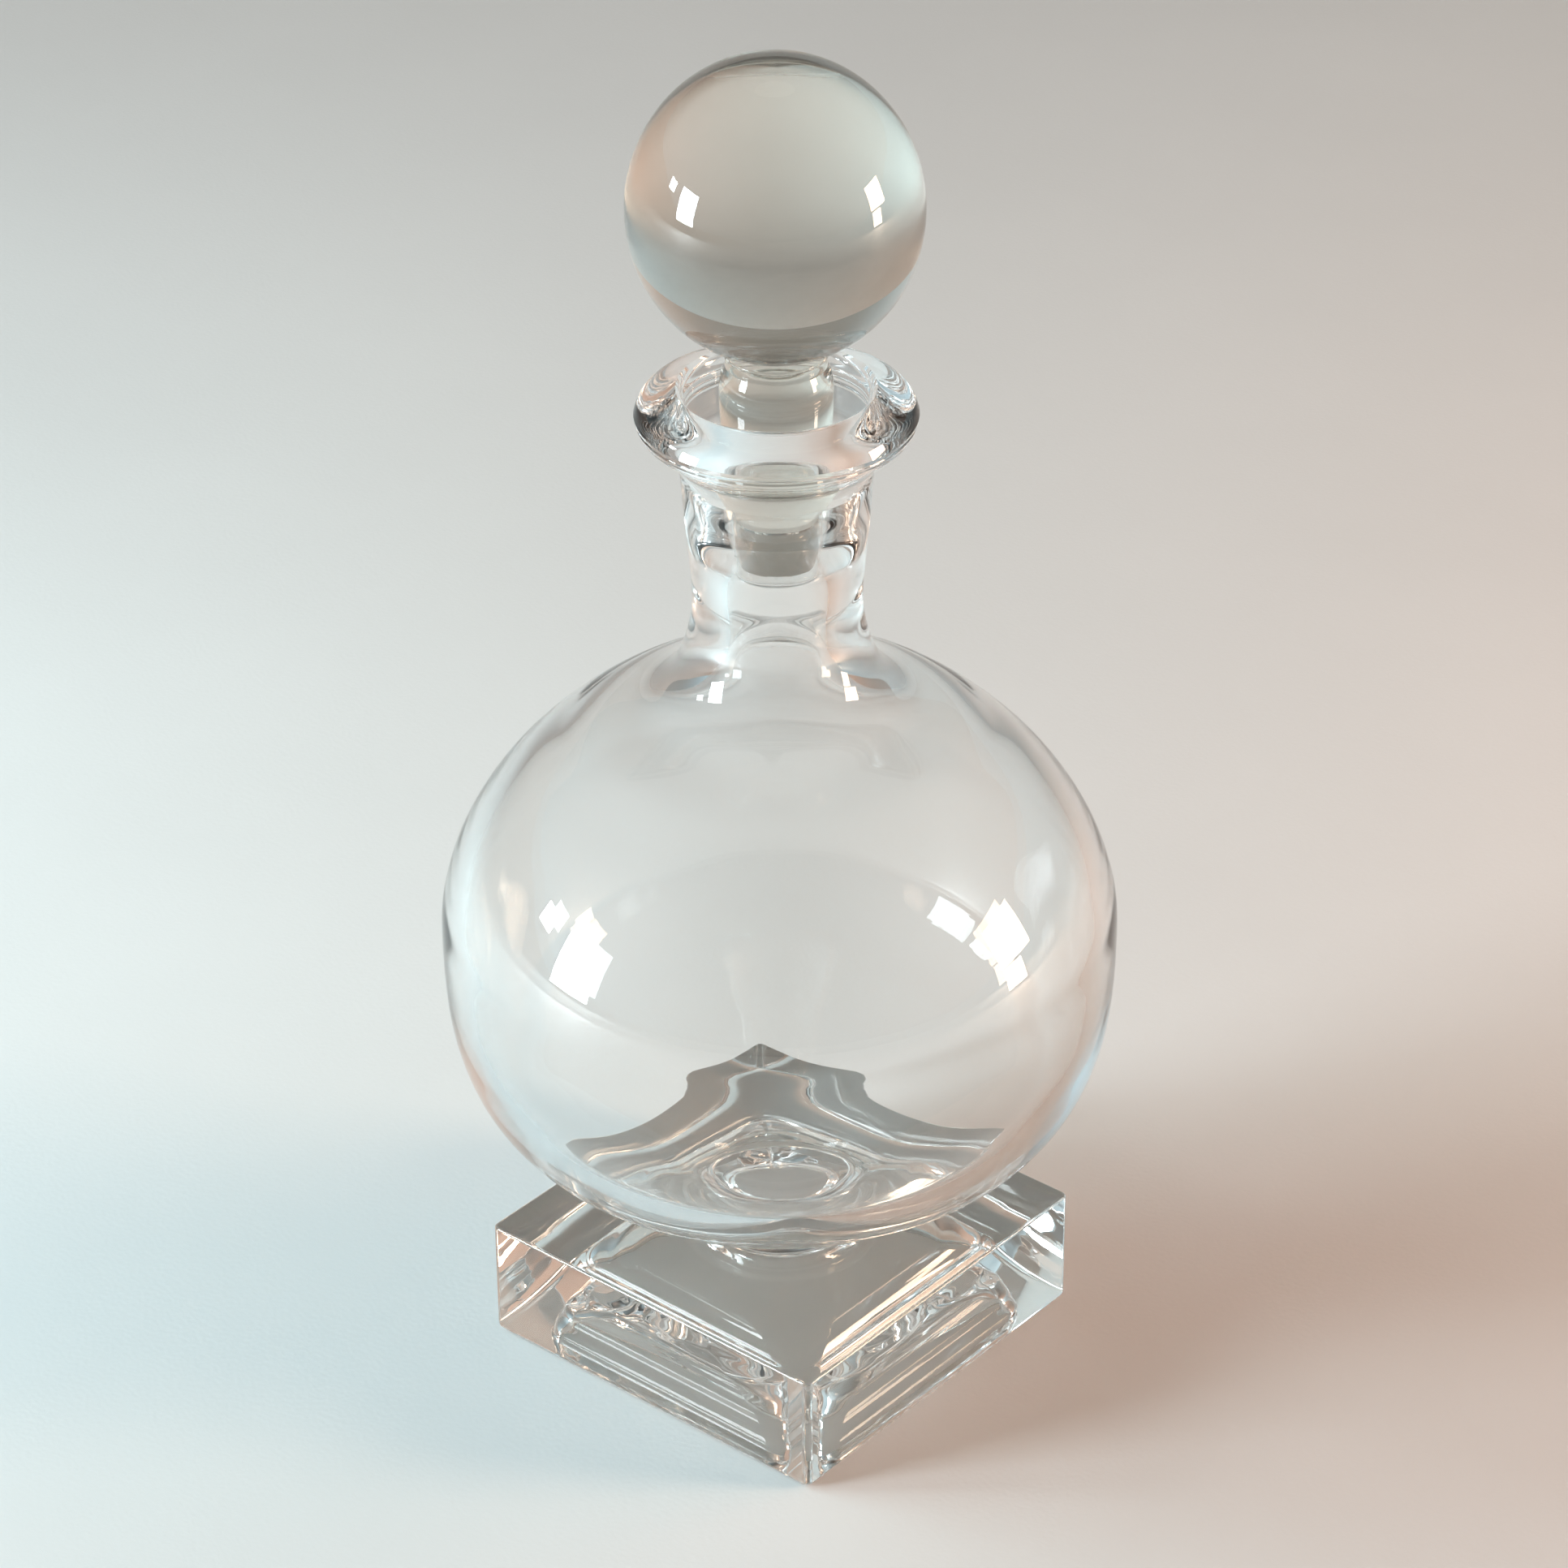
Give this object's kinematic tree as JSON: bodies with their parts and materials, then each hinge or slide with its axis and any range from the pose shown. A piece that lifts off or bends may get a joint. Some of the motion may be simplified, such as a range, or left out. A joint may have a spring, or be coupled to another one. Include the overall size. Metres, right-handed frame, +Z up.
{
  "type": "wine decanter",
  "caption": "Clear crystal wine decanter with a round blown bulb on a square pressed base and a solid ball stopper that lifts out.",
  "frame": {"origin": "centre of the base's underside, on the surface it stands on", "axes": "+Z up the round axis of the bulb, neck and stopper; X and Y square to the base's sides"},
  "size_m": [0.1302, 0.1302, 0.2717],
  "materials": {
    "blown_crystal": "fire-polished clear crystal",
    "pressed_crystal": "pressed and polished clear crystal",
    "stopper_crystal": "polished solid clear crystal"
  },
  "bodies": {
    "vessel": {"square_base": "pressed_crystal", "foot_button": "pressed_crystal", "flask": "blown_crystal", "lip_ring": "blown_crystal"},
    "stopper": {"stopper_ball": "stopper_crystal", "stopper_collar": "stopper_crystal", "stopper_plug": "stopper_crystal"}
  },
  "joints": [
    {"name": "stopper_lift", "type": "slide", "parent": "vessel", "child": "stopper", "axis": [0, 0, 1], "range_m": [0, 0.045]}
  ]
}
